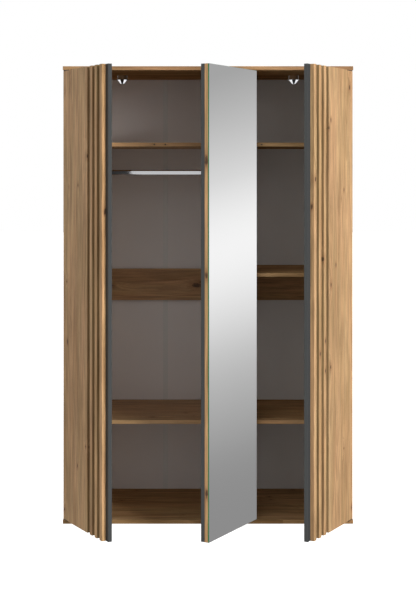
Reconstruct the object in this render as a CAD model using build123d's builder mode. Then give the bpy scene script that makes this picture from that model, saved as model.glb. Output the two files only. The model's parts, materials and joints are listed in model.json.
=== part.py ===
from build123d import *
from math import cos, sin, radians
import os

os.makedirs("parts", exist_ok=True)

# Free-standing wardrobe with three hinged doors. The origin is on the floor under the middle of
# the carcass, +Z is up, +X is to the right as seen from the front, and the front faces -Y.

# Carcass
WIDTH = 1320.0            # across the top and base panels
CARCASS_HEIGHT = 2080.0   # base panel underside to top panel upper face
DEPTH = 580.0             # front edge of the top panel to the rear of the back sheets
BOARD = 18.0              # every board of the carcass and doors
EDGE = 0.8                # chamfer of the edge banding
BACK_SHEET = 3.0
BACK_PLAY = 2.0           # shelves stop short of the back sheets, clear of their joint strip
GLIDE_HEIGHT = 2.0        # how far the floor glides lift the base panel
DOOR_ZONE = 42.0          # the top and base panels reach this far over the doors

# Doors
OPEN_ANGLE = 60.0         # how far the doors stand open in the stored pose
DOOR_WIDTH = 435.0
DOOR_CLEARANCE = 1.5      # over and under each door
DOOR_END_GAP = 3.0        # from the carcass ends to the closed outer doors
DOOR_TO_SIDE = 2.0        # closed door to the front edge of the sides
GRIP_STRIP = 25.0         # bare strip of the base board at the free edge
SLAT_WIDTH = 25.0
SLAT_GAP = 25.0
SLAT_COUNT = 3
SLAT_EDGE = 1.5           # rounding of the slats' long edges
MIRROR_BOARD = 16.0       # oak board of the middle door, under the mirror
MIRROR_GLASS = 5.0
MIRROR_TAPE = 0.8
MIRROR_INSET = 0.5
TAPE_WIDTH = 24.0
TAPE_COUNT = 4

# Pivot hinges at the doors' outer corners
PIVOT_INSET = 4.0         # axis from the closed door's hinge edge and from its oak face
MIDDLE_SHIFT = (-2.2, 1.0)   # the middle door's axis from its even place, sideways and back
PIVOT_PIN_R = 2.5
PIVOT_RUNNING = 0.05      # radial clearance of the pin in the door plate
PLATE_LENGTH = 60.0
PLATE_WIDTH = 15.0
PLATE_THICKNESS = 3.0
PLATE_CORNER = 3.4
SCREW_R = 1.6
SCREW_HEAD_R = 3.2
SCREW_LENGTH = 16.0
SCREW_STEPS = (22.0, 49.0)   # screw places along a hinge plate, from the axis

# Partition, shelves, rails and lamps
PARTITION_X = 212.5       # middle of the partition
UPPER_SHELF_TOP = 1736.0
MIDDLE_SHELF_TOP = 1139.0
LOWER_SHELF_TOP = 466.0
BACK_RAIL_HEIGHT = 156.0
RAIL_TUBE = (25.0, 15.0)  # height and width of the oval tube
RAIL_TUBE_WALL = 1.2
RAIL_Z = 1600.0
RAIL_Y = 20.0
SOCKET_RIM = 8.5          # flange beyond the tube
SOCKET_FLANGE = 4.0
SOCKET_WALL = 3.0
SOCKET_PLAY = 0.1
SOCKET_LENGTH = 16.0
LAMP_X = 410.0
LAMP_Y = 20.0
LAMP_R = 24.0
LAMP_BODY = 18.0
LAMP_RIM_R = 26.5
LAMP_RIM = 2.0
LAMP_LENS_R = 25.5
LAMP_LENS_TIP_R = 8.0
LAMP_LENS = 20.0
LAMP_LENS_TIP_EDGE = 2.5
LAMP_LED = 1.5

# Where the carcass planes fall
half_width = WIDTH / 2
front = -DEPTH / 2
rear = DEPTH / 2
sheet_front = rear - BACK_SHEET
side_front = front + DOOR_ZONE
shelf_rear = sheet_front - BACK_PLAY
base_top = GLIDE_HEIGHT + BOARD
top_under = GLIDE_HEIGHT + CARCASS_HEIGHT - BOARD
side_inner = half_width - BOARD
bay_left = (-side_inner, PARTITION_X - BOARD / 2)
bay_right = (PARTITION_X + BOARD / 2, side_inner)

# Where the doors fall
door_bottom = base_top + DOOR_CLEARANCE
door_height = top_under - DOOR_CLEARANCE - door_bottom
pivot_y = side_front - DOOR_TO_SIDE - 2 * BOARD + PIVOT_INSET
pivot_x = half_width - DOOR_END_GAP - PIVOT_INSET
middle_pivot_x = DOOR_WIDTH / 2 - PIVOT_INSET + MIDDLE_SHIFT[0]
edge_u = -PIVOT_INSET                       # the hinge edge along the door, from the axis
free_u = DOOR_WIDTH - PIVOT_INSET           # the free edge
oak_out = PIVOT_INSET                       # the oak face, outward from the axis
oak_back = oak_out - BOARD
mirror_board_back = oak_out - MIRROR_BOARD
slat_pitch = SLAT_WIDTH + SLAT_GAP
panel_end = free_u - GRIP_STRIP - SLAT_COUNT * slat_pitch

# name: (axis x and y, direction of the closed door from its hinge, side of its plane that faces outward)
DOORS = {
    "left": ((-pivot_x, pivot_y), 1, -1),
    "middle": ((middle_pivot_x, pivot_y + MIDDLE_SHIFT[1]), -1, 1),
    "right": ((pivot_x, pivot_y), -1, 1),
}


def keep(builder, name):
    """Label a finished piece and write it as one STEP."""
    builder.part.label = name
    export_step(builder.part, f"parts/{name}.step")


def door_plane(name, height=door_bottom):
    """Plane at a door's axis: X runs to the free edge of the standing door and Z is up."""
    axis, length_x, _ = DOORS[name]
    along = (length_x * cos(radians(OPEN_ANGLE)), -sin(radians(OPEN_ANGLE)), 0)
    return Plane(origin=(*axis, height), x_dir=along, z_dir=(0, 0, 1))


def closed_plane(name, height):
    """Plane at a door's axis whose X runs along the closed door, for the carcass hinge plates."""
    axis, length_x, _ = DOORS[name]
    return Plane(origin=(*axis, height), x_dir=(length_x, 0, 0), z_dir=(0, 0, 1))


def board(name, x_span, y_span, z_span, edge=EDGE):
    """A straight board with lightly broken edges."""
    low = Plane.XY.offset(z_span[0])
    with BuildPart(low) as piece:
        with BuildSketch(low):
            with Locations((sum(x_span) / 2, sum(y_span) / 2)):
                Rectangle(x_span[1] - x_span[0], y_span[1] - y_span[0])
        extrude(amount=z_span[1] - z_span[0])
        chamfer(piece.edges(), edge)
    keep(piece, name)


def door_layer(name, door, u_span, out_span, edge=EDGE, rounding=0.0, notched=False):
    """One full-height layer of a door, from its span along the door and outward from the axis."""
    side = DOORS[door][2]
    low = door_plane(door)
    with BuildPart(low) as piece:
        with BuildSketch(low):
            with Locations((sum(u_span) / 2, side * sum(out_span) / 2)):
                Rectangle(u_span[1] - u_span[0], out_span[1] - out_span[0])
        extrude(amount=door_height)
        if rounding:
            outer = piece.faces().sort_by(lambda f: side * low.to_local_coords(f.center()).Y)[-1]
            fillet(outer.edges().filter_by(Axis.Z), rounding)
        else:
            chamfer(piece.edges(), edge)
        if notched:
            for level in (0, door_height - PLATE_THICKNESS):
                with BuildSketch(low.offset(level)):
                    with Locations((PLATE_LENGTH / 2 + edge_u, side * (oak_out - PLATE_WIDTH / 2))):
                        Rectangle(PLATE_LENGTH, PLATE_WIDTH)
                extrude(amount=PLATE_THICKNESS, mode=Mode.SUBTRACT)
    keep(piece, name)


def hinge_plates(name, places, bore_r=0.0, pin_length=0.0):
    """Flat steel plates, one group, bored for the axis or carrying its pin.

    Each place is (plane on the plate's open face with Z out of the wood, outward side).
    """
    sink = SCREW_HEAD_R - SCREW_R
    with BuildPart() as group:
        for plane, side in places:
            centre_out = side * (oak_out - PLATE_WIDTH / 2)
            with BuildSketch(plane) as outline:
                with Locations((PLATE_LENGTH / 2 + edge_u, centre_out)):
                    Rectangle(PLATE_LENGTH - 0.4, PLATE_WIDTH - 0.4)
                fillet(outline.vertices(), PLATE_CORNER)
                if bore_r:
                    Circle(bore_r, mode=Mode.SUBTRACT)
                with Locations(*[(step, centre_out) for step in SCREW_STEPS]):
                    Circle(SCREW_R, mode=Mode.SUBTRACT)
            extrude(amount=-PLATE_THICKNESS)
            for step in SCREW_STEPS:
                with BuildSketch(plane):
                    with Locations((step, centre_out)):
                        Circle(SCREW_HEAD_R)
                extrude(amount=-sink, taper=45, mode=Mode.SUBTRACT)
            if pin_length:
                with BuildSketch(plane):
                    Circle(PIVOT_PIN_R)
                extrude(amount=pin_length)
    keep(group, name)


def hinge_screws(name, places):
    """Countersunk screws through the hinge plates, one group, at the same places as the plates."""
    with BuildPart() as group:
        for plane, side in places:
            for step in SCREW_STEPS:
                spot = (step, side * (oak_out - PLATE_WIDTH / 2))
                with BuildSketch(plane):
                    with Locations(spot):
                        Circle(SCREW_R)
                extrude(amount=-SCREW_LENGTH)
                with BuildSketch(plane):
                    with Locations(spot):
                        Circle(SCREW_HEAD_R)
                extrude(amount=-(SCREW_HEAD_R - SCREW_R), taper=45)
    keep(group, name)


# --- Base and top, with closed pockets for the hinge plates ---

def end_panel(name, z_low, pocket_low):
    low = Plane.XY.offset(z_low)
    with BuildPart(low) as piece:
        with BuildSketch(low):
            with Locations((0, (front + sheet_front) / 2)):
                Rectangle(WIDTH, sheet_front - front)
        extrude(amount=BOARD)
        chamfer(piece.edges(), EDGE)
        for door in DOORS:
            pocket = closed_plane(door, pocket_low)
            with BuildSketch(pocket):
                with Locations((PLATE_LENGTH / 2 + edge_u, DOORS[door][2] * (oak_out - PLATE_WIDTH / 2))):
                    Rectangle(PLATE_LENGTH, PLATE_WIDTH)
            extrude(amount=PLATE_THICKNESS, mode=Mode.SUBTRACT)
    keep(piece, name)


end_panel("base_panel", GLIDE_HEIGHT, base_top - PLATE_THICKNESS)
end_panel("top_panel", top_under, top_under)

# --- Upright boards ---

upright = (base_top, top_under)
board("left_side_panel", (-half_width, -side_inner), (side_front, sheet_front), upright)
board("right_side_panel", (side_inner, half_width), (side_front, sheet_front), upright)
board("partition", (PARTITION_X - BOARD / 2, PARTITION_X + BOARD / 2), (side_front, sheet_front), upright)

# --- Shelves and back rails ---

SHELVES = {
    "upper_shelf_left": (bay_left, UPPER_SHELF_TOP),
    "upper_shelf_right": (bay_right, UPPER_SHELF_TOP),
    "middle_shelf_right": (bay_right, MIDDLE_SHELF_TOP),
    "lower_shelf_left": (bay_left, LOWER_SHELF_TOP),
    "lower_shelf_right": (bay_right, LOWER_SHELF_TOP),
}
for shelf, (bay, top) in SHELVES.items():
    board(shelf, bay, (side_front, shelf_rear), (top - BOARD, top))

rail_top = MIDDLE_SHELF_TOP - BOARD
for name, bay in (("back_rail_left", bay_left), ("back_rail_right", bay_right)):
    board(name, bay, (shelf_rear - BOARD, shelf_rear), (rail_top - BACK_RAIL_HEIGHT, rail_top))

# --- Back sheets, joined by a plastic strip in the wide bay and by the partition in front ---

SHEET_MARGIN = 2.0
JOINT_GAP = 3.0
joint_x = -PARTITION_X
sheet_z = (GLIDE_HEIGHT + SHEET_MARGIN, GLIDE_HEIGHT + CARCASS_HEIGHT - SHEET_MARGIN)
sheet_spans = {
    "back_sheet_left": (-half_width + SHEET_MARGIN, joint_x - JOINT_GAP / 2),
    "back_sheet_middle": (joint_x + JOINT_GAP / 2, PARTITION_X - JOINT_GAP / 2),
    "back_sheet_right": (PARTITION_X + JOINT_GAP / 2, half_width - SHEET_MARGIN),
}
for name, span in sheet_spans.items():
    board(name, span, (sheet_front, rear), sheet_z, edge=0.3)

STRIP_FLANGE = 24.0
STRIP_SKIN = 1.2
strip_foot = Plane.XY.offset(base_top)
with BuildPart(strip_foot) as strip:
    with BuildSketch(strip_foot):
        with Locations((joint_x, sheet_front - STRIP_SKIN / 2)):
            Rectangle(STRIP_FLANGE, STRIP_SKIN)
        with Locations((joint_x, sheet_front + (BACK_SHEET - STRIP_SKIN) / 2)):
            Rectangle(JOINT_GAP - 0.4, BACK_SHEET + STRIP_SKIN)
    extrude(amount=top_under - base_top)
    chamfer(strip.faces().sort_by(Axis.Y)[0].edges().filter_by(Axis.Z), 0.4)
keep(strip, "back_joint_strip")

# --- Floor glides: under the sides, the partition and its twin, and one in the middle ---

GLIDE_R = 14.0
GLIDE_EDGE = 40.0
with BuildPart(Plane.XY) as glides:
    glide_rows = (front + GLIDE_EDGE, sheet_front - GLIDE_EDGE)
    glide_columns = (-half_width + GLIDE_EDGE, -PARTITION_X, PARTITION_X, half_width - GLIDE_EDGE)
    with BuildSketch(Plane.XY):
        with Locations((0, 0), *[(x, y) for x in glide_columns for y in glide_rows]):
            Circle(GLIDE_R)
    extrude(amount=GLIDE_HEIGHT)
    chamfer(glides.faces().group_by(Axis.Z)[0].edges(), 0.5)
keep(glides, "floor_glides")

# --- Hanging rail and its sockets ---


def rail_oval(grow=0.0, mode=Mode.ADD):
    """Upright oval of the rail's section, grown all round."""
    SlotOverall(RAIL_TUBE[0] + 2 * grow, RAIL_TUBE[1] + 2 * grow, rotation=90, mode=mode)


rail_plane = Plane(origin=(bay_left[0] + SOCKET_FLANGE, RAIL_Y, RAIL_Z), x_dir=(0, 1, 0), z_dir=(1, 0, 0))
rail_length = bay_left[1] - bay_left[0] - 2 * SOCKET_FLANGE
with BuildPart(rail_plane) as hanging_rail:
    with BuildSketch(rail_plane):
        rail_oval()
        rail_oval(-RAIL_TUBE_WALL, mode=Mode.SUBTRACT)
    extrude(amount=rail_length)
keep(hanging_rail, "hanging_rail")

for name, x, out in (("rail_socket_left", bay_left[0], 1), ("rail_socket_right", bay_left[1], -1)):
    socket_plane = Plane(origin=(x, RAIL_Y, RAIL_Z), x_dir=(0, 1, 0), z_dir=(out, 0, 0))
    with BuildPart(socket_plane) as socket:
        with BuildSketch(socket_plane):
            rail_oval(SOCKET_RIM)
        extrude(amount=SOCKET_FLANGE)
        with BuildSketch(socket_plane.offset(SOCKET_FLANGE)):
            rail_oval(SOCKET_WALL)
            rail_oval(SOCKET_PLAY, mode=Mode.SUBTRACT)
        extrude(amount=SOCKET_LENGTH - SOCKET_FLANGE)
        tip = socket.faces().sort_by(Axis.X)[-1 if out > 0 else 0]
        chamfer(tip.outer_wire().edges(), 1.0)
    keep(socket, name)

# --- Shelf pins under every shelf ---

PIN_R = 2.5
PIN_HEAD_R = 4.0
PIN_REACH = 9.0
PIN_SUNK = 9.0
PIN_SETBACK = 60.0
with BuildPart() as shelf_pins:
    for bay, top in SHELVES.values():
        for wall, out in ((bay[0], 1), (bay[1], -1)):
            for y in (side_front + PIN_SETBACK, sheet_front - PIN_SETBACK):
                seat = Plane(origin=(wall, y, top - BOARD - PIN_HEAD_R), x_dir=(0, 1, 0), z_dir=(out, 0, 0))
                with BuildSketch(seat):
                    Circle(PIN_HEAD_R)
                extrude(amount=PIN_REACH)
                with BuildSketch(seat):
                    Circle(PIN_R)
                shank = min(PIN_SUNK, BOARD / 2 - 0.5)
                extrude(amount=-shank)
keep(shelf_pins, "shelf_pins")

# --- Cam locks with their caps in the uprights, and the dowels beside them ---

CAM_R = 7.5
CAM_DEPTH = 12.5
CAM_CAP_R = 9.0
CAM_CAP = 1.0
CAM_FROM_END = 34.0
CAM_ROWS = (side_front + 60.0, sheet_front - 60.0)
UPRIGHT_FACES = ((-side_inner, 1), (PARTITION_X + BOARD / 2, 1), (side_inner, -1))
with BuildPart() as cam_locks:
    for wall, out in UPRIGHT_FACES:
        for y in CAM_ROWS:
            for z in (base_top + CAM_FROM_END, top_under - CAM_FROM_END):
                face = Plane(origin=(wall, y, z), x_dir=(0, 1, 0), z_dir=(out, 0, 0))
                with BuildSketch(face):
                    Circle(CAM_R)
                extrude(amount=-CAM_DEPTH)
                with BuildSketch(face):
                    Circle(CAM_CAP_R)
                extrude(amount=CAM_CAP)
keep(cam_locks, "cam_locks")

DOWEL_R = 4.0
DOWEL_LENGTH = 28.0
DOWEL_SUNK = 10.0
DOWEL_ROWS = (side_front + 110.0, sheet_front - 110.0)
with BuildPart() as dowels:
    for x in (-half_width + BOARD / 2, PARTITION_X, half_width - BOARD / 2):
        for y in DOWEL_ROWS:
            for z in (base_top - DOWEL_SUNK, top_under + DOWEL_SUNK - DOWEL_LENGTH):
                with BuildSketch(Plane(origin=(x, y, z), z_dir=(0, 0, 1))):
                    Circle(DOWEL_R)
                extrude(amount=DOWEL_LENGTH)
keep(dowels, "wood_dowels")

# --- Spot lamps under the top panel ---

for name, x in (("left", -LAMP_X), ("right", LAMP_X)):
    lamp_plane = Plane(origin=(x, LAMP_Y, top_under), x_dir=(1, 0, 0), z_dir=(0, 0, -1))
    with BuildPart(lamp_plane) as lamp_body:
        with BuildSketch(lamp_plane):
            Circle(LAMP_R)
        extrude(amount=LAMP_BODY)
        with BuildSketch(lamp_plane.offset(LAMP_BODY)):
            Circle(LAMP_RIM_R)
            Circle(LAMP_R - 4, mode=Mode.SUBTRACT)
        extrude(amount=LAMP_RIM)
    keep(lamp_body, f"lamp_housing_{name}")

    rim_plane = lamp_plane.offset(LAMP_BODY + LAMP_RIM)
    with BuildPart(rim_plane) as lamp_lens:
        with BuildSketch(rim_plane):
            Circle(LAMP_LENS_R)
        with BuildSketch(rim_plane.offset(LAMP_LENS)):
            Circle(LAMP_LENS_TIP_R)
        loft()
        fillet(lamp_lens.edges().group_by(Axis.Z)[0], LAMP_LENS_TIP_EDGE)
    keep(lamp_lens, f"lamp_lens_{name}")

with BuildPart() as lamp_leds:
    for x in (-LAMP_X, LAMP_X):
        with BuildSketch(Plane(origin=(x, LAMP_Y, top_under - LAMP_BODY), z_dir=(0, 0, -1))):
            Circle(LAMP_R - 5)
        extrude(amount=LAMP_LED)
keep(lamp_leds, "lamp_leds")

# --- Doors ---

for door in ("left", "right"):
    door_layer(f"{door}_door_board", door, (edge_u, free_u), (oak_back - BOARD, oak_back))
    door_layer(f"{door}_door_panel", door, (edge_u, panel_end), (oak_back, oak_out), notched=True)
    for i in range(SLAT_COUNT):
        start = panel_end + SLAT_GAP + i * slat_pitch
        slat = f"{door}_door_slat_{i + 1}"
        door_layer(slat, door, (start, start + SLAT_WIDTH), (oak_back, oak_out), rounding=SLAT_EDGE)

middle_board = (mirror_board_back - BOARD, mirror_board_back)
door_layer("middle_door_board", "middle", (edge_u, free_u), middle_board)
door_layer("middle_door_front", "middle", (edge_u, free_u), (mirror_board_back, oak_out), notched=True)
glass_span = (edge_u + MIRROR_INSET, free_u - MIRROR_INSET)
glass_out = (oak_out + MIRROR_TAPE, oak_out + MIRROR_TAPE + MIRROR_GLASS)
door_layer("door_mirror", "middle", glass_span, glass_out, edge=0.5)

low = door_plane("middle")
with BuildPart(low) as tape:
    with BuildSketch(low):
        step = (DOOR_WIDTH - 3 * TAPE_WIDTH) / (TAPE_COUNT - 1)
        for i in range(TAPE_COUNT):
            with Locations((edge_u + 1.5 * TAPE_WIDTH + i * step, oak_out + MIRROR_TAPE / 2)):
                Rectangle(TAPE_WIDTH, MIRROR_TAPE)
    extrude(amount=door_height - 4)
keep(tape, "mirror_tape")

# --- Pivot hinges ---

WASHER_PLAY = 0.1
PIN_SHORT = 0.3
pin_length = DOOR_CLEARANCE + PLATE_THICKNESS - PIN_SHORT


def facing_down(plane):
    """The same place turned to look down: Z is out of a face that looks at the floor."""
    return Plane(origin=plane.origin, x_dir=plane.x_dir, z_dir=-plane.z_dir)


sill_places = [(closed_plane(door, base_top), DOORS[door][2]) for door in DOORS]
head_places = [(facing_down(closed_plane(door, top_under)), -DOORS[door][2]) for door in DOORS]
hinge_plates("hinge_sill_plates", sill_places, pin_length=pin_length)
hinge_plates("hinge_head_plates", head_places, pin_length=pin_length)
hinge_screws("carcass_hinge_screws", sill_places + head_places)

for door in DOORS:
    side = DOORS[door][2]
    foot_place = (facing_down(door_plane(door)), -side)
    crown_place = (door_plane(door, door_bottom + door_height), side)
    hinge_plates(f"{door}_hinge_foot_plate", [foot_place], bore_r=PIVOT_PIN_R + PIVOT_RUNNING)
    hinge_plates(f"{door}_hinge_crown_plate", [crown_place], bore_r=PIVOT_PIN_R + PIVOT_RUNNING)
    hinge_screws(f"{door}_hinge_screws", [foot_place, crown_place])

with BuildPart() as washers:
    for plane, _ in sill_places:
        with BuildSketch(plane):
            Circle(PIVOT_INSET)
            Circle(PIVOT_PIN_R + 0.1, mode=Mode.SUBTRACT)
        extrude(amount=DOOR_CLEARANCE - WASHER_PLAY)
keep(washers, "pivot_washers")

# --- Magnets that hold the doors shut, and their strike discs ---

MAGNET_R = 4.0
MAGNET_LENGTH = 14.0
STRIKE_R = 7.0
STRIKE = 1.0
CATCH_FROM_EDGE = 24.0
shelf_mid = UPPER_SHELF_TOP - BOARD / 2
catch_u = free_u - CATCH_FROM_EDGE
with BuildPart() as magnets:
    for axis, length_x, _ in DOORS.values():
        spot = (axis[0] + length_x * catch_u, side_front, shelf_mid)
        with BuildSketch(Plane(origin=spot, x_dir=(1, 0, 0), z_dir=(0, 1, 0))):
            Circle(MAGNET_R)
        extrude(amount=MAGNET_LENGTH)
keep(magnets, "catch_magnets")
for door in DOORS:
    side = DOORS[door][2]
    flat = door_plane(door, shelf_mid)
    back_face = middle_board[0] if door == "middle" else oak_back - BOARD
    spot = flat.from_local_coords((catch_u, side * back_face, 0))
    inward = flat.y_dir * -side
    disc_plane = Plane(origin=spot, x_dir=(0, 0, 1), z_dir=inward)
    with BuildPart(disc_plane) as strike:
        with BuildSketch(disc_plane):
            Circle(STRIKE_R)
        extrude(amount=STRIKE)
    keep(strike, f"{door}_strike_disc")
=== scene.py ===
import json
from math import cos, radians, sin

import bmesh
import bpy
from mathutils import Matrix, Vector


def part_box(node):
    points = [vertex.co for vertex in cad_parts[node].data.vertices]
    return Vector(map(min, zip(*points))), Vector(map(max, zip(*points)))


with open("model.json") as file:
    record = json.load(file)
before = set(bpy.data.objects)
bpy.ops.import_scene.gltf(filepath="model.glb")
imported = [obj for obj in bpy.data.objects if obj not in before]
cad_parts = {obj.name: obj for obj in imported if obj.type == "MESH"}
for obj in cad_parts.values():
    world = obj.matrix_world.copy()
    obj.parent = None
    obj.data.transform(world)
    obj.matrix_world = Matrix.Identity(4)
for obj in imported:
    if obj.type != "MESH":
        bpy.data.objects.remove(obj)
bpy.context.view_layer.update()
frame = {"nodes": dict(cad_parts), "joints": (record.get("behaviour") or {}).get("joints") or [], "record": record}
nodes = frame["nodes"]

# Everything is in metres, in the CAD frame: the front faces -Y, +X is to the right, the floor is z = 0.
OPEN = radians(60)
X, Y, Z = Vector((1, 0, 0)), Vector((0, 1, 0)), Vector((0, 0, 1))

# Each door at rest: its hinge axis on the floor, and its unit vectors from the hinge to the free edge
# and out of its front.
DOOR_AXIS = {joint["child"].split("_")[0]: Vector((*joint["pos_m"][:2], 0)) for joint in frame["joints"]}
DOOR_ALONG = {
    "left": Vector((cos(OPEN), -sin(OPEN), 0)),
    "middle": Vector((-cos(OPEN), -sin(OPEN), 0)),
    "right": Vector((-cos(OPEN), -sin(OPEN), 0)),
}
DOOR_OUT = {
    "left": Vector((-sin(OPEN), -cos(OPEN), 0)),
    "middle": Vector((sin(OPEN), -cos(OPEN), 0)),
    "right": Vector((sin(OPEN), -cos(OPEN), 0)),
}

# The mirror shows the plain studio, so these stay out of its reflection.
RIGHT_BAY = ("upper", "middle", "lower", "back")
OUT_OF_MIRROR = [n for n in nodes if n.endswith("_right") and n.startswith(RIGHT_BAY)]
OUT_OF_MIRROR += [n for n in nodes if n.startswith("right_")]
OUT_OF_MIRROR += ["top_panel", "base_panel", "partition", "cam_locks", "shelf_pins", "pivot_washers"]
OUT_OF_MIRROR += ["hinge_sill_plates", "hinge_head_plates", "carcass_hinge_screws", "catch_magnets"]
OUT_OF_MIRROR += ["wood_dowels", "floor_glides", "lamp_leds", "lamp_housing_right", "lamp_lens_right"]
for name in OUT_OF_MIRROR:
    nodes[name].visible_glossy = False

scene = bpy.context.scene
scene.view_settings.view_transform = "Standard"
scene.view_settings.look = "None"


# --- Node trees ---

class Tree:
    """Short calls for building a node tree. Inputs are sockets or plain values."""

    def __init__(self, tree):
        self.tree = tree

    def add(self, kind, inputs=None, **settings):
        node = self.tree.nodes.new(kind)
        for key, value in settings.items():
            setattr(node, key, value)
        for key, value in (inputs or {}).items():
            self.feed(node.inputs[key], value)
        return node

    def feed(self, socket, value):
        if isinstance(value, bpy.types.NodeSocket):
            self.tree.links.new(value, socket)
        else:
            socket.default_value = value

    def math(self, operation, *values, clamp=False):
        node = self.add("ShaderNodeMath", operation=operation, use_clamp=clamp)
        for socket, value in zip(node.inputs, values):
            self.feed(socket, value)
        return node.outputs[0]

    def plus(self, a, b):
        return self.math("ADD", a, b)

    def minus(self, a, b):
        return self.math("SUBTRACT", a, b)

    def times(self, a, b):
        return self.math("MULTIPLY", a, b)

    def vector(self, operation, *values):
        node = self.add("ShaderNodeVectorMath", operation=operation)
        for socket, value in zip(node.inputs, values):
            self.feed(socket, value)
        return node.outputs["Value" if operation in ("LENGTH", "DOT_PRODUCT") else "Vector"]

    def split(self, vector):
        return self.add("ShaderNodeSeparateXYZ", {0: vector}).outputs

    def join(self, x, y, z=0.0):
        return self.add("ShaderNodeCombineXYZ", {0: x, 1: y, 2: z}).outputs[0]

    def step(self, value, low, high, to_low=0.0, to_high=1.0):
        """A smooth step from to_low to to_high as value goes from low to high."""
        ends = {"From Min": low, "From Max": high, "To Min": to_low, "To Max": to_high}
        node = self.add("ShaderNodeMapRange", {"Value": value, **ends}, interpolation_type="SMOOTHSTEP")
        return node.outputs["Result"]

    def noise(self, place, scale, detail=2.0, rough=0.5, stretch=None, out="Fac"):
        """Noise, with its scale per metre. A stretch below 1 draws it out along that axis."""
        if stretch:
            place = self.vector("MULTIPLY", place, stretch)
        settings = {"Vector": place, "Scale": scale, "Detail": detail, "Roughness": rough}
        return self.add("ShaderNodeTexNoise", settings).outputs[out]

    def mix(self, factor, a, b, blend="MIX"):
        node = self.add("ShaderNodeMix", data_type="RGBA", blend_type=blend)
        colours = [s for s in node.inputs if s.type == "RGBA"]
        self.feed(node.inputs[0], factor)
        self.feed(colours[0], a)
        self.feed(colours[1], b)
        return next(s for s in node.outputs if s.type == "RGBA")

    def tinted(self, colour, tone):
        return self.mix(1.0, colour, tone, "MULTIPLY")

    def place(self):
        """The object's own coordinates, which are metres in the CAD frame at rest."""
        return self.add("ShaderNodeTexCoord").outputs["Object"]

    def normal(self):
        return self.add("ShaderNodeTexCoord").outputs["Normal"]

    def facing(self, direction):
        """The cosine between the normal and a direction, both in the CAD frame at rest."""
        return self.vector("DOT_PRODUCT", self.normal(), tuple(direction))

    def bump(self, shader, height, strength, distance):
        node = self.add("ShaderNodeBump", {"Height": height, "Strength": strength, "Distance": distance})
        self.feed(shader.inputs["Normal"], node.outputs[0])


def rgb(red, green, blue):
    return (red, green, blue, 1.0)


def grey(value):
    return rgb(value, value, value)


def new_material(name, roughness=0.5, metallic=0.0, **constants):
    """A material with one Principled shader. Constants go on the shader's own sockets."""
    material = bpy.data.materials.new(name)
    material.use_nodes = True
    material.node_tree.nodes.clear()
    tree = Tree(material.node_tree)
    shader = tree.add("ShaderNodeBsdfPrincipled", {"Roughness": roughness, "Metallic": metallic})
    for key, value in constants.items():
        shader.inputs[key.replace("_", " ")].default_value = value
    output = tree.add("ShaderNodeOutputMaterial")
    tree.feed(output.inputs["Surface"], shader.outputs[0])
    return material, tree, shader


def paint(name, material):
    """Give one CAD node one material."""
    materials = nodes[name].data.materials
    materials.clear()
    materials.append(material)


# --- Oak decor ---

PLANK = 0.130                # width of one plank of the pattern
PLANK_SEED = 7.13            # step between the seeds of two planks
PLANK_APART = (4.0, 0.7, 9.0)  # how far apart in the wood two planks may be cut
BOARD_SEED = 1.37            # step between the seeds of two boards
BOARD_APART = 3.7            # how far apart along the grain two boards are cut
GRAIN_WANDER = 0.035         # how far the grain strays from straight
RING = 0.0058                # from one year ring to the next
PITH_ASIDE = 0.14            # the range of a plank's pith to the side
PITH_BEHIND = 0.025          # the least distance of the pith behind the face
PITH_DEPTH = 0.05            # the range of that distance
PITH_DRIFT = 0.035           # how far the rings drift along a plank
KNOT_CELL = (0.115, 0.36)    # one possible knot in each cell, across and along the grain
KNOT_SKIP = 0.42             # the part of the cells that has none
KNOT_REACH = (0.016, 0.060)  # how far from a knot the grain bends, across and along it
RING_SWELL = 0.026           # how far a knot pushes the year rings aside
STREAK_SWELL = 0.020         # and how far the streaks
OAK_LIGHT = rgb(0.530, 0.332, 0.174)
OAK_MID = rgb(0.370, 0.220, 0.105)
OAK_LATE = rgb(0.255, 0.142, 0.062)
OAK_KNOT = rgb(0.075, 0.040, 0.022)
OAK_HALO = rgb(0.270, 0.135, 0.060)
OAK_GREEN = rgb(0.958, 1.000, 0.945)
OAK_RED = rgb(1.050, 0.990, 0.975)
OAK_SHEEN = 0.22


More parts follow.
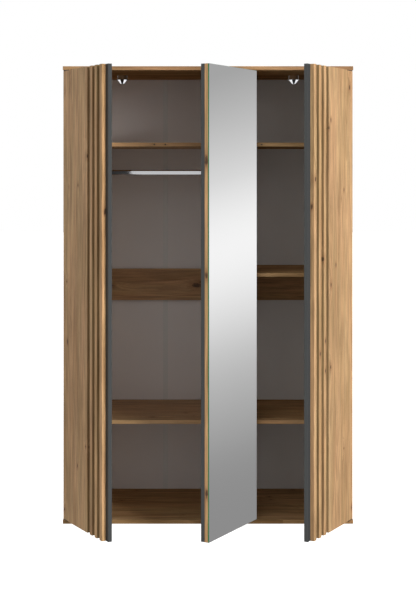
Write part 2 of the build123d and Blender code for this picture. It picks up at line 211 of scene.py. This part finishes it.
def oak_knots(t, spot, bent):
    """Small knots: how much each bends the grain, its halo, and its dark core and crack."""
    x, _, z = t.split(bent)
    cell = t.join(t.math("DIVIDE", x, KNOT_CELL[0]), t.math("DIVIDE", z, KNOT_CELL[1]))
    settings = {"Vector": cell, "Scale": 1.0, "Randomness": 0.85}
    knots = t.add("ShaderNodeTexVoronoi", settings, voronoi_dimensions="2D")
    chance, size, kind = t.split(knots.outputs["Color"])
    has = t.math("GREATER_THAN", chance, KNOT_SKIP)
    size = t.step(size, 0.0, 1.0, 0.45, 1.5)
    away = t.vector("SUBTRACT", knots.outputs["Position"], cell)
    away = t.vector("MULTIPLY", away, (*KNOT_CELL, 0.0))
    across, along, _ = t.split(t.vector("DIVIDE", away, t.join(size, size, 1.0)))

    reach = t.join(t.math("DIVIDE", across, KNOT_REACH[0]), t.math("DIVIDE", along, KNOT_REACH[1]))
    reach = t.vector("LENGTH", reach)
    swell = t.times(has, t.math("EXPONENT", t.times(t.times(reach, reach), -1.0)))

    ragged = t.minus(t.noise(spot, 260.0, 2.0, 0.6, stretch=(1.0, 1.0, 0.5)), 0.5)
    near = t.vector("LENGTH", t.join(across, t.times(along, 0.55)))
    near = t.plus(near, t.times(ragged, 0.0045))
    core = t.times(has, t.step(near, 0.0026, 0.0048, 1.0, 0.0))
    halo = t.times(has, t.step(near, 0.0030, 0.0170, 1.0, 0.0))

    slit = t.minus(0.0011, t.times(t.math("ABSOLUTE", along), 0.035))
    thin = t.math("ABSOLUTE", t.plus(across, t.times(ragged, 0.006)))
    crack = t.step(t.minus(slit, thin), 0.0, 0.0004)
    crack = t.times(crack, t.math("GREATER_THAN", kind, 0.40))
    return swell, halo, t.math("MAXIMUM", core, t.times(crack, has))


def oak_rings(t, place, plank, luck, lucks, seed, warp, swell):
    """The dark late wood of year rings round a pith behind the face, which shows as arches and lines."""
    x, y, z = t.split(place)
    warp_x, warp_y, _ = t.split(warp)
    centre = t.times(t.plus(plank, 0.5), PLANK)
    aside = t.plus(t.minus(x, centre), t.times(t.minus(lucks[0], 0.5), PITH_ASIDE))
    aside = t.plus(aside, warp_x)
    behind = t.plus(t.plus(y, warp_y), t.plus(t.times(lucks[1], PITH_DEPTH), PITH_BEHIND))
    drift = t.noise(t.join(luck, seed, t.plus(z, t.times(luck, 50.0))), 1.6, 1.0)
    radius = t.vector("LENGTH", t.join(aside, behind))
    radius = t.plus(radius, t.times(drift, PITH_DRIFT))
    radius = t.plus(radius, t.times(swell, RING_SWELL))
    uneven = t.times(t.noise(t.join(radius, luck, seed), 90.0, 1.0), 1.6)
    part = t.math("FRACT", t.plus(t.math("DIVIDE", radius, RING), uneven))
    return t.times(t.step(part, 0.25, 0.93), t.step(part, 0.93, 1.0, 1.0, 0.0))


def oak_group():
    """Solid oak pattern. Vector: X across the board, Y through it and Z along its grain, in metres."""
    group = bpy.data.node_groups.new("oak_grain", "ShaderNodeTree")
    for name, way, kind in (
        ("Vector", "INPUT", "Vector"),
        ("Seed", "INPUT", "Float"),
        ("Color", "OUTPUT", "Color"),
        ("Roughness", "OUTPUT", "Float"),
        ("Height", "OUTPUT", "Float"),
    ):
        group.interface.new_socket(name, in_out=way, socket_type=f"NodeSocket{kind}")
    t = Tree(group)
    given = t.add("NodeGroupInput")
    place, seed = given.outputs["Vector"], given.outputs["Seed"]

    # Each plank has its own piece of wood and its own tint.
    plank = t.math("FLOOR", t.math("DIVIDE", t.split(place)[0], PLANK))
    key = t.plus(t.times(plank, PLANK_SEED), seed)
    chance = t.add("ShaderNodeTexWhiteNoise", {"W": key}, noise_dimensions="1D")
    luck, lucks = chance.outputs["Value"], t.split(chance.outputs["Color"])
    spot = t.vector("ADD", place, t.vector("MULTIPLY", chance.outputs["Color"], PLANK_APART))
    slow = t.noise(spot, 5.0, stretch=(1.0, 1.0, 0.20), out="Color")
    warp = t.vector("SUBTRACT", slow, (0.5, 0.5, 0.5))
    warp = t.vector("MULTIPLY", warp, (GRAIN_WANDER, GRAIN_WANDER, 0.0))
    bent = t.vector("ADD", spot, warp)
    swell, halo, dark = oak_knots(t, spot, bent)
    late = oak_rings(t, place, plank, luck, lucks, seed, warp, swell)

    # Streaks, fibres and pores run along the grain, and round the knots.
    bent_x, _, bent_z = t.split(bent)
    led = t.join(t.plus(bent_x, t.times(swell, STREAK_SWELL)), t.split(spot)[1], bent_z)

    def layer(scale, detail, rough, stretch):
        return t.noise(led, scale, detail, rough, stretch=(1.0, 1.0, stretch))

    tone = layer(36.0, 3.0, 0.60, 0.075)
    streak = layer(85.0, 3.0, 0.60, 0.060)
    tint = layer(24.0, 2.0, 0.60, 0.090)
    broad = layer(9.0, 2.0, 0.50, 0.10)
    fibre = layer(520.0, 3.0, 0.60, 0.016)
    dashes = layer(1500.0, 1.0, 0.50, 0.040)
    pores = t.times(t.step(dashes, 0.60, 0.70), t.step(late, 0.0, 0.8, 1.0, 0.35))

    depth = t.plus(t.times(tone, 0.80), t.times(broad, 0.55))
    colour = t.mix(t.step(depth, 0.48, 0.86), OAK_LIGHT, OAK_MID)
    colour = t.mix(t.times(late, t.step(broad, 0.30, 0.70, 0.14, 0.50)), colour, OAK_LATE)
    shade = t.plus(t.step(streak, 0.32, 0.68, 0.99, 0.62), t.times(fibre, 0.32))
    shade = t.minus(shade, t.times(pores, 0.26))
    colour = t.tinted(colour, t.join(shade, shade, shade))
    warmth = t.plus(t.step(tint, 0.32, 0.68, 0.0, 0.75), t.times(luck, 0.25))
    colour = t.tinted(colour, t.mix(warmth, OAK_GREEN, OAK_RED))
    value = t.plus(0.93, t.times(lucks[2], 0.14))
    colour = t.tinted(colour, t.join(value, value, value))
    colour = t.mix(t.times(halo, 0.55), colour, OAK_HALO)
    colour = t.mix(t.times(dark, 0.92), colour, OAK_KNOT)

    rough = t.plus(0.50, t.times(fibre, 0.12))
    rough = t.plus(rough, t.times(t.math("MAXIMUM", dark, pores), 0.15))
    height = t.minus(t.times(fibre, 0.5), t.times(pores, 0.45))
    height = t.minus(height, t.times(dark, 0.9))
    result = t.add("NodeGroupOutput")
    t.feed(result.inputs["Color"], colour)
    t.feed(result.inputs["Roughness"], rough)
    t.feed(result.inputs["Height"], height)
    return group


OAK = oak_group()

# Knots that stand out on the doors: along the door from its axis, out of its front, above the floor,
# and the knot's radius.
DOOR_KNOTS = {
    "middle_door_front": [
        (0.431, -0.004, 1.649, 0.014),
        (0.431, -0.003, 1.159, 0.010),
        (0.431, -0.003, 0.229, 0.010),
    ],
    "left_door_panel": [
        (0.043, 0.004, 0.834, 0.008),
        (0.158, 0.004, 1.543, 0.006),
        (0.153, 0.004, 0.294, 0.006),
    ],
    "left_door_slat_3": [(0.406, -0.011, 1.433, 0.008)],
    "right_door_panel": [
        (0.180, 0.004, 1.189, 0.006),
        (0.233, 0.004, 1.829, 0.006),
        (0.093, 0.004, 1.520, 0.005),
    ],
    "right_door_slat_1": [(0.292, 0.004, 0.865, 0.006), (0.292, 0.004, 0.735, 0.006)],
    "right_door_slat_2": [(0.344, 0.004, 0.815, 0.007)],
    "right_door_slat_3": [(0.406, -0.008, 1.450, 0.007)],
}
BACK_RAIL_KNOT = (Vector((-0.058, 0.267, 1.038)), 0.017)


def knots_on(name):
    """The knots that stand out on one board: their places and radii."""
    if name == "back_rail_left":
        return [BACK_RAIL_KNOT]
    door = name.split("_")[0]
    return [
        (DOOR_AXIS[door] + DOOR_ALONG[door] * along + DOOR_OUT[door] * out + Z * height, radius)
        for along, out, height, radius in DOOR_KNOTS.get(name, ())
    ]


def add_knot(t, colour, spot, radius, along):
    """Mix one ragged knot into a colour, drawn out along the grain."""
    place = t.place()
    squeeze = tuple(1.0 - 0.55 * abs(axis) for axis in along)
    offset = t.vector("MULTIPLY", t.vector("SUBTRACT", place, tuple(spot)), squeeze)
    ragged = t.noise(place, 110.0, 3.0, 0.7, stretch=squeeze)
    away = t.plus(t.vector("LENGTH", offset), t.times(ragged, 1.6 * radius))
    halo = t.step(away, 1.2 * radius, 2.8 * radius, 0.75, 0.0)
    core = t.step(away, 1.1 * radius, 1.7 * radius, 0.95, 0.0)
    return t.mix(core, t.mix(halo, colour, OAK_HALO), OAK_KNOT)


# Painted light and shade: tones that multiply the oak's colour on one side of a board, above one for painted light
# and below one for painted shade.
# Painted shade on the board sides that face into the grooves between the slats.
GROOVE_PAINTED_SHADE = rgb(0.72, 0.75, 0.72)
# Painted light: shelf edges, three slat fronts, the left door's last slat side and the middle door's free edge.
LIT_EDGE = rgb(1.20, 1.19, 1.19)
PAINTED_HIGHLIGHT = rgb(1.14, 1.12, 1.10)
WARM_PAINTED_LIGHT = rgb(1.12, 1.02, 1.00)
DOOR_EDGE_PAINTED_LIGHT = rgb(1.14, 1.07, 1.03)
# Painted shade: the right door's last slat side, the top and base panel edges, the lower left shelf's top and the
# left back rail's front.
SLAT_SIDE_PAINTED_SHADE = rgb(0.84, 0.83, 0.83)
TOP_EDGE_PAINTED_SHADE = rgb(0.84, 0.82, 0.84)
BASE_EDGE_PAINTED_SHADE = rgb(0.70, 0.66, 0.60)
INNER_PAINTED_SHADE = rgb(0.88, 0.84, 0.86)

# Which sides have painted light or shade of their own: their outward direction and that tone.
SIDE_PAINTED_LIGHT_AND_SHADE = {
    "top_panel": [(-Y, TOP_EDGE_PAINTED_SHADE)],
    "base_panel": [(-Y, BASE_EDGE_PAINTED_SHADE)],
    "upper_shelf_left": [(-Y, WARM_PAINTED_LIGHT)],
    "upper_shelf_right": [(-Y, LIT_EDGE)],
    "middle_shelf_right": [(-Y, LIT_EDGE)],
    "lower_shelf_left": [(-Y, LIT_EDGE), (Z, INNER_PAINTED_SHADE)],
    "lower_shelf_right": [(-Y, LIT_EDGE)],
    "back_rail_left": [(-Y, INNER_PAINTED_SHADE)],
    "middle_door_front": [(DOOR_ALONG["middle"], DOOR_EDGE_PAINTED_LIGHT)],
    "left_door_slat_3": [(DOOR_ALONG["left"], PAINTED_HIGHLIGHT)],
    "right_door_slat_3": [(DOOR_ALONG["right"], SLAT_SIDE_PAINTED_SHADE)],
}
# Painted shade in the grooves of the left and right doors.
for door in ("left", "right"):
    for piece in ("panel", "slat_1", "slat_2"):
        SIDE_PAINTED_LIGHT_AND_SHADE[f"{door}_door_{piece}"] = [(DOOR_ALONG[door], GROOVE_PAINTED_SHADE)]
# Painted highlight on the fronts of three slats.
for door, piece in (("left", "slat_2"), ("right", "slat_1"), ("right", "slat_2")):
    SIDE_PAINTED_LIGHT_AND_SHADE[f"{door}_door_{piece}"].append((DOOR_OUT[door], PAINTED_HIGHLIGHT))


def oak_material(name, across, through, along, seed):
    """Oak for one board: its unit vectors across, through and along the grain, and its own seed."""
    matt = name in OUT_OF_MIRROR and not name.startswith("right_door")
    material, t, shader = new_material(f"oak_{name}", Specular_IOR_Level=0.0 if matt else OAK_SHEEN)
    turn = Matrix((across, through, along)).to_euler()
    corners = [Vector(v.co) for v in nodes[name].data.vertices]
    start = [min(c.dot(axis) for c in corners) for axis in (across, through)]
    shift = (-start[0], -start[1], BOARD_APART * seed)
    placing = {"Vector": t.place(), "Location": shift, "Rotation": turn}
    mapping = t.add("ShaderNodeMapping", placing, vector_type="POINT")
    grain = t.add("ShaderNodeGroup", node_tree=OAK)
    t.feed(grain.inputs["Vector"], mapping.outputs[0])
    grain.inputs["Seed"].default_value = seed * BOARD_SEED
    colour = grain.outputs["Color"]
    # Painted light and shade on single sides of the board.
    for side, tone in SIDE_PAINTED_LIGHT_AND_SHADE.get(name, ()):
        colour = t.mix(t.step(t.facing(side), 0.75, 0.95), colour, t.tinted(colour, tone))
    for spot, radius in knots_on(name):
        colour = add_knot(t, colour, spot, radius, along)
    t.feed(shader.inputs["Base Color"], colour)
    t.feed(shader.inputs["Roughness"], grain.outputs["Roughness"])
    t.bump(shader, grain.outputs["Height"], 0.35, 0.0004)
    return material


# Unit vectors across, through and along the grain of each kind of board.
LYING = (Y, Z, X)
UPRIGHT = (Y, X, Z)
RAIL = (Z, Y, X)
OAK_BOARDS = {
    "base_panel": LYING,
    "top_panel": LYING,
    "upper_shelf_left": LYING,
    "upper_shelf_right": LYING,
    "middle_shelf_right": LYING,
    "lower_shelf_left": LYING,
    "lower_shelf_right": LYING,
    "left_side_panel": UPRIGHT,
    "right_side_panel": UPRIGHT,
    "partition": UPRIGHT,
    "back_rail_left": RAIL,
    "back_rail_right": RAIL,
}
for door in ("left", "right"):
    for piece in ("panel", "slat_1", "slat_2", "slat_3"):
        OAK_BOARDS[f"{door}_door_{piece}"] = (DOOR_ALONG[door], DOOR_OUT[door], Z)
OAK_BOARDS["middle_door_front"] = (DOOR_ALONG["middle"], DOOR_OUT["middle"], Z)
for count, (name, axes) in enumerate(OAK_BOARDS.items(), start=1):
    paint(name, oak_material(name, *axes, seed=count))


# --- The other finishes ---

GRAPHITE = (rgb(0.038, 0.0400, 0.0395), rgb(0.053, 0.0555, 0.0550))
GRIP_STRIP_PAINTED_SHADE = grey(0.55)
LACQUER = (rgb(0.748, 0.712, 0.702), rgb(0.698, 0.662, 0.652))
RIGHT_SHEET_PAINTED_SHADE = rgb(0.850, 0.870, 0.855)
RAW_BOARD = (rgb(0.215, 0.125, 0.062), rgb(0.370, 0.235, 0.130))
RAW_FLECK = rgb(0.130, 0.070, 0.035)
MIRROR_EDGE = (rgb(0.012, 0.120, 0.035), rgb(0.028, 0.185, 0.062))
SILVER = (rgb(0.890, 0.890, 0.891), grey(0.905))
LENS_DARK = rgb(0.020, 0.022, 0.026)
LENS_LIT = rgb(0.75, 0.77, 0.80)
LENS_GLOW = rgb(0.95, 0.97, 1.0)


def graphite():
    """Laminate of the door boards, with painted shade darkening the front where the grip strip shows."""
    material, t, shader = new_material("graphite_laminate", Specular_IOR_Level=0.4)
    normal_x, normal_y, _ = t.split(t.normal())
    outward = t.plus(t.times(t.math("ABSOLUTE", normal_x), sin(OPEN)), t.times(normal_y, -cos(OPEN)))
    front = t.step(outward, 0.90, 0.98)
    grain = t.noise(t.place(), 1900.0, 3.0, 0.6, stretch=(1.0, 1.0, 0.35))
    cloud = t.noise(t.place(), 14.0)
    colour = t.mix(t.plus(t.times(grain, 0.6), t.times(cloud, 0.4)), *GRAPHITE)
    # Painted shade on the front face, where the grip strip shows.
    t.feed(shader.inputs["Base Color"], t.mix(front, colour, t.tinted(colour, GRIP_STRIP_PAINTED_SHADE)))
    t.feed(shader.inputs["Roughness"], t.step(grain, 0.2, 0.8, 0.44, 0.60))
    t.bump(shader, grain, 0.25, 0.0003)
    return material


def fibreboard():
    """Lacquered on the inside face, raw and brown on the rear face and the edges."""
    material, t, shader = new_material("back_fibreboard", roughness=0.6, Specular_IOR_Level=0.3)
    raw = t.math("LESS_THAN", t.facing(-Y), 0.5)
    felt = t.noise(t.place(), 900.0, 4.0, 0.65)
    cloud = t.noise(t.place(), 6.0)
    flecks = t.step(t.noise(t.place(), 420.0, 2.0, 0.7, stretch=(1.0, 1.0, 0.6)), 0.60, 0.72)
    inside = t.mix(t.times(cloud, 0.7), *LACQUER)
    outside = t.mix(t.times(flecks, 0.5), t.mix(felt, *RAW_BOARD), RAW_FLECK)

    # The sheet in the right bay, past the partition, is tinted darker: painted shade for the dimmer light in that
    # bay.
    low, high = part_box("partition")
    right_bay_painted_shade = t.math("GREATER_THAN", t.split(t.place())[0], (low.x + high.x) / 2)
    inside = t.mix(right_bay_painted_shade, inside, t.tinted(inside, RIGHT_SHEET_PAINTED_SHADE))
    t.feed(shader.inputs["Base Color"], t.mix(raw, inside, outside))
    t.feed(shader.inputs["Roughness"], t.plus(0.50, t.times(raw, 0.30)))
    t.bump(shader, t.times(felt, t.plus(0.25, raw)), 0.3, 0.0004)
    return material


def plastic(name, dark, light, roughness):
    """A moulded or matt surface with fine specks."""
    material, t, shader = new_material(name, roughness=roughness)
    speck = t.noise(t.place(), 1400.0, 3.0, 0.6)
    t.feed(shader.inputs["Base Color"], t.mix(speck, dark, light))
    t.bump(shader, speck, 0.2, 0.0002)
    return material


def metal(name, dark, light, smooth, coarse, brushed):
    """Metal with hairline scratches, which run along the axes where brushed is small."""
    material, t, shader = new_material(name, metallic=1.0)
    hair = t.noise(t.place(), 900.0, 3.0, 0.6, stretch=brushed)
    t.feed(shader.inputs["Base Color"], t.mix(hair, dark, light))
    t.feed(shader.inputs["Roughness"], t.step(hair, 0.2, 0.8, smooth, coarse))
    t.bump(shader, hair, 0.06, 0.0001)
    return material


def mirror():
    """Silvered face, and a green ground edge on every side of the glass."""
    material, t, shader = new_material("mirror_glass", roughness=0.02)
    face = t.math("GREATER_THAN", t.facing(DOOR_OUT["middle"]), 0.9)
    edge = t.mix(t.noise(t.place(), 700.0, 3.0, 0.6), *MIRROR_EDGE)
    silver = t.mix(t.noise(t.place(), 2.5), *SILVER)
    t.feed(shader.inputs["Base Color"], t.mix(face, edge, silver))
    t.feed(shader.inputs["Metallic"], face)
    t.feed(shader.inputs["Roughness"], t.minus(0.35, t.times(face, 0.33)))
    return material


def lit_lens():
    """Lit acrylic cone with four dark ribs that widen upward, and a dark rim."""
    material, t, shader = new_material("lamp_lens", roughness=0.06, Emission_Strength=0.9)
    low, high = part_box("lamp_lens_right")
    axis = (low + high) / 2
    x, y, z = t.split(t.place())
    # The lamps are the same distance from the middle of the wardrobe, so |x| serves both.
    from_axis_x = t.math("ABSOLUTE", t.minus(t.math("ABSOLUTE", x), axis.x))
    from_axis_y = t.math("ABSOLUTE", t.minus(y, axis.y))
    ripple = t.noise(t.place(), 220.0)
    beside = t.plus(t.math("MINIMUM", from_axis_x, from_axis_y), t.times(ripple, 0.002))
    rib = t.step(z, low.z - 0.002, high.z, 0.0040, 0.0090)
    lit = t.step(t.minus(beside, rib), 0.0, 0.0020)
    lit = t.times(lit, t.step(z, high.z - 0.0022, high.z - 0.0005, 1.0, 0.0))
    t.feed(shader.inputs["Base Color"], t.mix(lit, LENS_DARK, LENS_LIT))
    t.feed(shader.inputs["Emission Color"], t.mix(lit, grey(0.0), LENS_GLOW))
    t.bump(shader, ripple, 0.08, 0.0003)
    return material


# The two colours of each metal, its roughness from and to, and its brushing along each axis.
CHROME = (rgb(0.60, 0.60, 0.61), rgb(0.66, 0.66, 0.67), 0.05, 0.10, (0.15, 1.0, 1.0))
DARK_STEEL = (rgb(0.035, 0.033, 0.031), rgb(0.060, 0.057, 0.054), 0.35, 0.55, (1.0, 1.0, 0.1))
SMOKED_CHROME = (rgb(0.026, 0.013, 0.006), rgb(0.075, 0.044, 0.024), 0.08, 0.20, (0.25, 0.25, 0.01))
FINISHES = {
    "graphite_board": graphite(),
    "back_fibreboard": fibreboard(),
    "joint_plastic": plastic("joint_plastic", rgb(0.62, 0.615, 0.60), rgb(0.68, 0.675, 0.66), 0.45),
    "glide_plastic": plastic("glide_plastic", grey(0.03), grey(0.06), 0.55),
    "chrome_trim": metal("chrome_trim", *CHROME),
    "lamp_glass": lit_lens(),
    "led_face": plastic("led_face", rgb(0.70, 0.68, 0.60), rgb(0.80, 0.78, 0.70), 0.4),
    "cam_metal": plastic("cam_cap", rgb(0.42, 0.27, 0.15), rgb(0.52, 0.34, 0.19), 0.5),
    "dowel_beech": plastic("beech", rgb(0.50, 0.32, 0.17), rgb(0.62, 0.42, 0.25), 0.7),
    "dark_steel": metal("dark_steel", *DARK_STEEL),
    "foam_tape": plastic("foam_tape", grey(0.03), grey(0.07), 0.9),
    "mirror_glass": mirror(),
}
for subpart in frame["record"]["subparts"]:
    if subpart["material_slot"] in FINISHES:
        paint(subpart["node"], FINISHES[subpart["material_slot"]])
smoked = metal("smoked_chrome", *SMOKED_CHROME)
paint("lamp_housing_left", smoked)
paint("lamp_housing_right", smoked)


# --- Stage, light and camera ---

FLOOR_HALF = 30.0
FLOOR_GLOW = 0.97
CARD_HALF = 14.0
CARD_NEAR = -0.7             # the card's edge towards the wardrobe
CARD_FAR = -30.0
CARD_DROP = 0.01             # how far the card lies under the floor
CARD_GLOW = 0.9
BACKDROP_RADIUS = 40.0

# The mirror shows the studio's side wall. Its brightness at each height of a direction is highest just
# under the horizon, and this bright band rises as the direction turns to the back.
WALL = ((-0.29, 0.285), (-0.205, 0.35), (-0.13, 0.645), (-0.06, 0.99), (0.0, 0.76), (0.085, 0.41))
WALL_DIRECTION = (0.70, 0.71, 0.0)
WALL_TURN = (0.48, 0.56)     # the Y of a direction from and to which the band rises
WALL_TURN_ZERO = 0.517       # the Y at which the heights in WALL hold
WALL_RISE = 0.37             # how steeply it rises

# Away from that wall the studio is open: the heights of a direction, and how bright it is there.
OPEN_SIDE_HEIGHTS = (-0.35, 0.10)
OPEN_SIDE_GLOW = (0.35, 0.88)

KEY_PLACE = Vector((5.7, -7.0, 3.3))
KEY_TARGET = Vector((0.0, 0.0, 1.0))
KEY_SIZE = 3.4
KEY_POWER = 790.0

CAMERA_PLACE = (0.0, -6.036, 1.578)
CAMERA_LENS = 75.11
CAMERA_SHIFT = -0.2078


def emission(name, strength):
    material = bpy.data.materials.new(name)
    material.use_nodes = True
    material.node_tree.nodes.clear()
    t = Tree(material.node_tree)
    glow = t.add("ShaderNodeEmission", {"Color": grey(1.0), "Strength": strength})
    t.feed(t.add("ShaderNodeOutputMaterial").inputs["Surface"], glow.outputs[0])
    return material


def sheet(name, half_width, front, back, height):
    """The mesh of a level rectangle between two Y values."""
    mesh = bpy.data.meshes.new(name)
    corners = [(-half_width, front), (half_width, front), (half_width, back), (-half_width, back)]
    mesh.from_pydata([(x, y, height) for x, y in corners], [], [(0, 1, 2, 3)])
    return mesh


def set_up(name, mesh, material, hidden_from):
    """An object in the scene, hidden from some kinds of ray."""
    mesh.materials.append(material)
    thing = bpy.data.objects.new(name, mesh)
    scene.collection.objects.link(thing)
    for ray in hidden_from:
        setattr(thing, f"visible_{ray}", False)
    return thing


def add_floor():
    material, _, shader = new_material("pale_floor", roughness=0.9, Specular_IOR_Level=0.0)
    shader.inputs["Base Color"].default_value = grey(0.80)
    shader.inputs["Emission Color"].default_value = grey(1.0)
    shader.inputs["Emission Strength"].default_value = FLOOR_GLOW
    mesh = sheet("floor", FLOOR_HALF, -FLOOR_HALF, FLOOR_HALF, 0.0)
    floor = set_up("floor", mesh, material, ("glossy", "diffuse"))


def add_front_card():
    """A white card under the floor before the wardrobe, seen only in polished metal and glass."""
    mesh = sheet("front_card", CARD_HALF, CARD_FAR, CARD_NEAR, -CARD_DROP)
    hidden_from = ("camera", "diffuse", "transmission", "volume_scatter", "shadow")
    card = set_up("front_card", mesh, emission("white_card", CARD_GLOW), hidden_from)


def add_backdrop():
    """A white shell far behind everything, seen by the camera only."""
    mesh = bpy.data.meshes.new("backdrop")
    shell = bmesh.new()
    bmesh.ops.create_icosphere(shell, subdivisions=4, radius=BACKDROP_RADIUS)
    shell.to_mesh(mesh)
    shell.free()
    hidden_from = ("diffuse", "glossy", "transmission", "volume_scatter", "shadow")
    backdrop = set_up("backdrop", mesh, emission("white_backdrop", 1.0), hidden_from)


def add_world():
    world = bpy.data.worlds.new("studio")
    scene.world = world
    world.use_nodes = True
    world.node_tree.nodes.clear()
    t = Tree(world.node_tree)
    direction = t.add("ShaderNodeTexCoord").outputs["Generated"]
    _, backward, height = t.split(direction)
    turn = t.math("MINIMUM", t.math("MAXIMUM", backward, WALL_TURN[0]), WALL_TURN[1])
    level = t.minus(height, t.times(t.minus(turn, WALL_TURN_ZERO), WALL_RISE))
    low, high = WALL[0][0], WALL[-1][0]
    ramp = t.add("ShaderNodeValToRGB", {"Fac": t.math("DIVIDE", t.minus(level, low), high - low, clamp=True)})
    ramp.color_ramp.interpolation = "CARDINAL"
    stops = ramp.color_ramp.elements
    for i, (place, value) in enumerate(WALL):
        at = (place - low) / (high - low)
        stop = stops[i] if i < 2 else stops.new(at)
        stop.position = at
        stop.color = grey(value)
    beside = t.step(t.vector("DOT_PRODUCT", direction, WALL_DIRECTION), -0.25, 0.10)
    open_side = t.step(height, *OPEN_SIDE_HEIGHTS, *OPEN_SIDE_GLOW)
    colour = t.mix(beside, t.join(open_side, open_side, open_side), ramp.outputs[0])
    light = t.add("ShaderNodeBackground", {"Color": colour, "Strength": 1.0})
    t.feed(t.add("ShaderNodeOutputWorld").inputs["Surface"], light.outputs[0])


def add_key_light():
    """A large soft light from the front right, kept out of reflections."""
    lamp = bpy.data.lights.new("key_light", "AREA")
    lamp.shape = "SQUARE"
    lamp.size = KEY_SIZE
    lamp.energy = KEY_POWER
    light = bpy.data.objects.new("key_light", lamp)
    light.location = KEY_PLACE
    light.rotation_euler = (KEY_TARGET - KEY_PLACE).to_track_quat("-Z", "Y").to_euler()
    light.visible_glossy = False
    light.visible_camera = False
    scene.collection.objects.link(light)


def add_camera():
    camera = bpy.data.cameras.new("camera")
    camera.sensor_width = 36.0
    camera.lens = CAMERA_LENS
    camera.shift_y = CAMERA_SHIFT
    camera.clip_end = 200.0
    view = bpy.data.objects.new("camera", camera)
    view.location = CAMERA_PLACE
    view.rotation_euler = (radians(90), 0, 0)
    scene.collection.objects.link(view)
    scene.camera = view


add_floor()
add_front_card()
add_backdrop()
add_world()
add_key_light()
add_camera()
